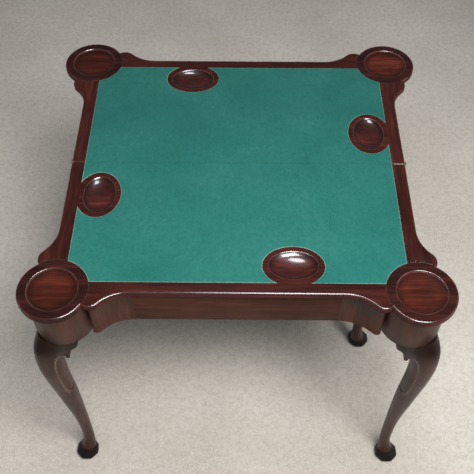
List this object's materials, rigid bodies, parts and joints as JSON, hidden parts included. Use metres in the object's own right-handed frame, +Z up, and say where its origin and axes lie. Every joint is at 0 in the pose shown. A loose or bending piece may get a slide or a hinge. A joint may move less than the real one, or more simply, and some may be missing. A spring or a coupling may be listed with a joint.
{
  "type": "fold-over card table",
  "caption": "Fold-over mahogany card table with round turret corners, green baize, sunk candle stands, dished counter wells, cabriole legs with pad feet and a swing-out gate leg.",
  "frame": {"origin": "on the floor, under the middle of the fold between the two leaves, with the table open", "axes": "+X to the right along the fold line, -Y towards the front turrets and front legs, +Z up"},
  "size_m": [0.856, 0.81, 0.7237],
  "materials": {
    "top_mahogany": "french polished gloss",
    "frame_mahogany": "waxed satin",
    "beech": "raw, aged",
    "baize": "napped wool",
    "brass": "aged",
    "iron": "dull"
  },
  "bodies": {
    "frame": {"fixed_leaf": "top_mahogany", "fixed_leaf_baize": "baize", "leaf_tenon": "beech", "left_hinge_fixed_plate": "brass", "right_hinge_fixed_plate": "brass", "left_hinge_pin": "iron", "right_hinge_pin": "iron", "fixed_plate_screws": "brass", "front_left_turret": "frame_mahogany", "front_right_turret": "frame_mahogany", "front_frieze": "frame_mahogany", "left_frieze": "frame_mahogany", "right_frieze": "frame_mahogany", "front_left_shoulder": "frame_mahogany", "front_right_shoulder": "frame_mahogany", "left_shoulder": "frame_mahogany", "right_shoulder": "frame_mahogany", "inner_back_rail": "beech", "fixed_fly_rail": "beech", "fly_rail_pin": "iron", "fly_rail_nails": "iron", "front_left_leg": "frame_mahogany", "front_right_leg": "frame_mahogany", "rear_right_leg": "frame_mahogany", "front_left_leg_front_ear": "frame_mahogany", "front_left_leg_side_ear": "frame_mahogany", "front_right_leg_front_ear": "frame_mahogany", "front_right_leg_side_ear": "frame_mahogany", "rear_right_leg_ear": "frame_mahogany", "glue_blocks": "beech", "top_screws": "iron"},
    "flap": {"folding_leaf": "top_mahogany", "folding_leaf_baize": "baize", "left_hinge_folding_plate": "brass", "right_hinge_folding_plate": "brass", "folding_plate_screws": "brass"},
    "gate": {"swing_fly_rail": "beech", "swing_leg": "frame_mahogany", "swing_leg_ear": "frame_mahogany"}
  },
  "joints": [
    {"name": "leaf_fold", "type": "hinge", "parent": "frame", "child": "flap", "pos_m": [0, 0, 0.72025], "axis": [1, 0, 0], "range_deg": [0, 180]},
    {"name": "gate_swing", "type": "hinge", "parent": "frame", "child": "gate", "pos_m": [0.02, -0.063, 0.65], "axis": [0, 0, 1], "range_deg": [0, 90]}
  ]
}
